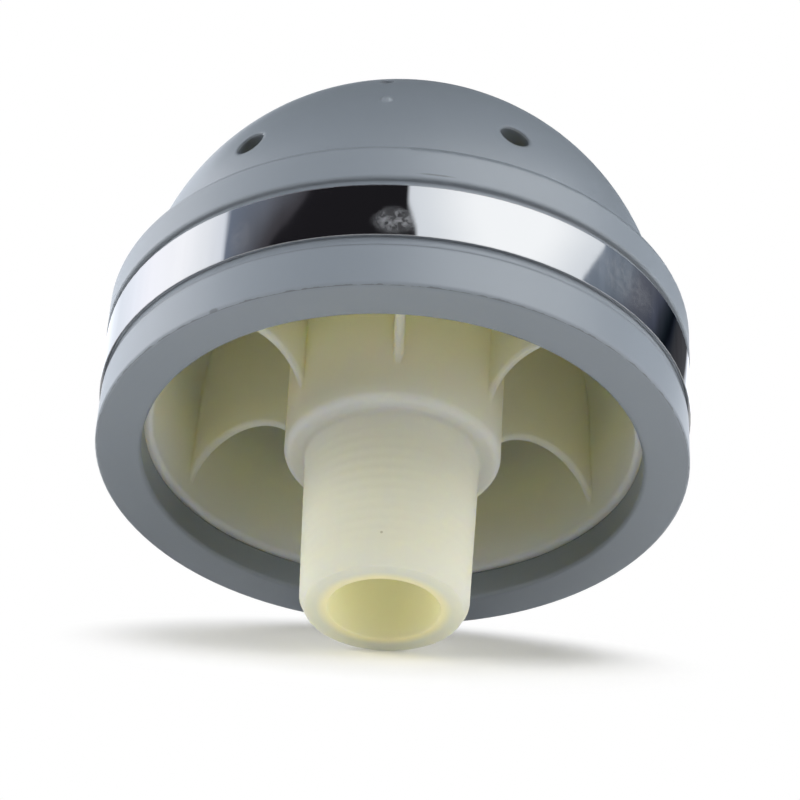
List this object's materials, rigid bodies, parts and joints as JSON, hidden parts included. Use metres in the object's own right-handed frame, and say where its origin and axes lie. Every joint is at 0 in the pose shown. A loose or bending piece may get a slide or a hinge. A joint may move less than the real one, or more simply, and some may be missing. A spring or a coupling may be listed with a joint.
{
  "type": "coarse bubble aerator",
  "caption": "Domed coarse bubble aerator with a pierced grey rubber cap, a polished band and a ribbed ivory body on a threaded pipe nozzle.",
  "frame": {"origin": "centre of the air bore at the nozzle's end face", "axes": "+Z along the bore axis from the nozzle to the dome, -Y towards the rib that the picture shows nearest, +Y towards the band's pinched ear"},
  "size_m": [0.0948, 0.1005, 0.0941],
  "materials": {
    "ivory_plastic": "satin",
    "grey_rubber": "satin",
    "stainless_band": "polished"
  },
  "bodies": {
    "root": {"diffuser_body": "ivory_plastic", "membrane_cap": "grey_rubber", "clamp_band": "stainless_band"}
  },
  "joints": []
}
